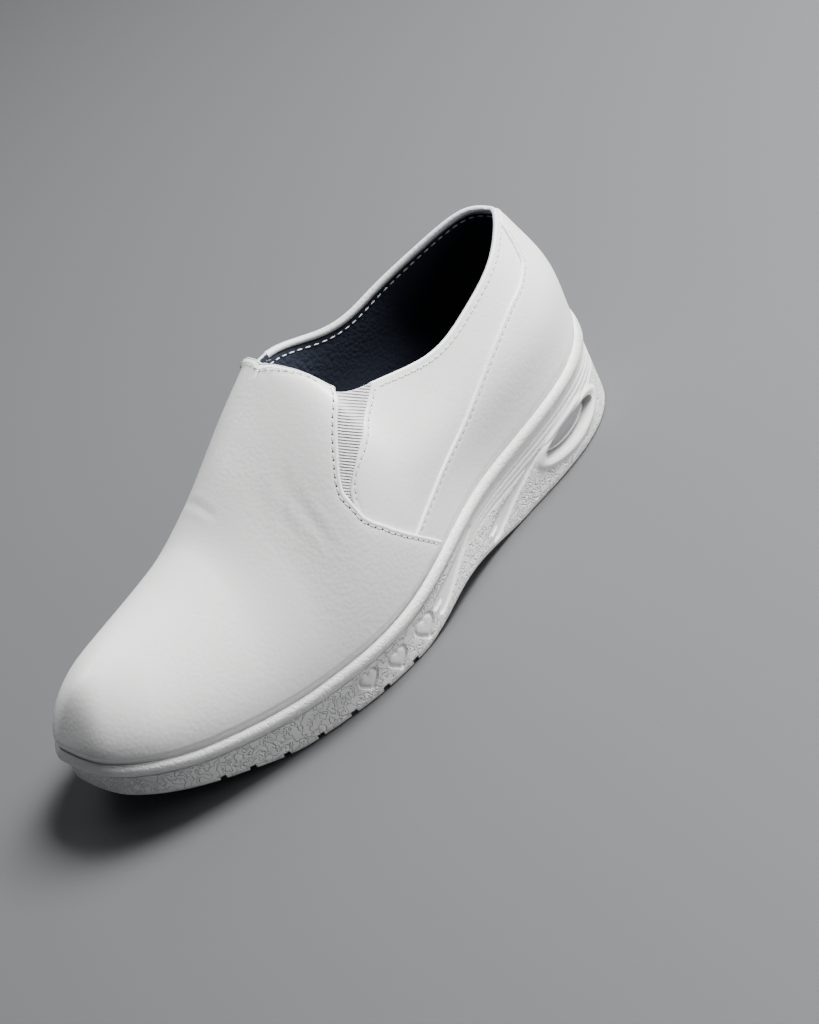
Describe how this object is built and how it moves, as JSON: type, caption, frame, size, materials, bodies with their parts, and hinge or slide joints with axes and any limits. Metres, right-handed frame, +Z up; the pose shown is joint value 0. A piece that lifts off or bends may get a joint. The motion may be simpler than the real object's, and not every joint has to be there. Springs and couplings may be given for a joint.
{
  "type": "slip-on nursing shoe",
  "caption": "White leather slip-on work shoe for the left foot, with elastic side wedges, a dark lining and a moulded sole with a heel window and a blue forefoot insert.",
  "frame": {"origin": "middle of the shoe's plan at the height of the ground under the sole", "axes": "+X from heel to toe along the sole, +Y to the wearer's left (outer side of this left shoe), +Z up"},
  "size_m": [0.2648, 0.1018, 0.1026],
  "materials": {
    "white_leather": "smooth full-grain leather, soft sheen",
    "elastic": "finely ribbed woven elastic",
    "foot_bed": "matt dark blue textile",
    "sole_white": "moulded, wrinkle texture on the side, satin",
    "tread_blue": "moulded, slightly glossy",
    "cushion_grey": "smooth smoky grey"
  },
  "bodies": {
    "root": {"upper": "white_leather", "gore_lateral": "elastic", "gore_medial": "elastic", "insole": "foot_bed", "outsole": "sole_white", "forefoot_tread": "tread_blue", "air_cushion": "cushion_grey"}
  },
  "joints": []
}
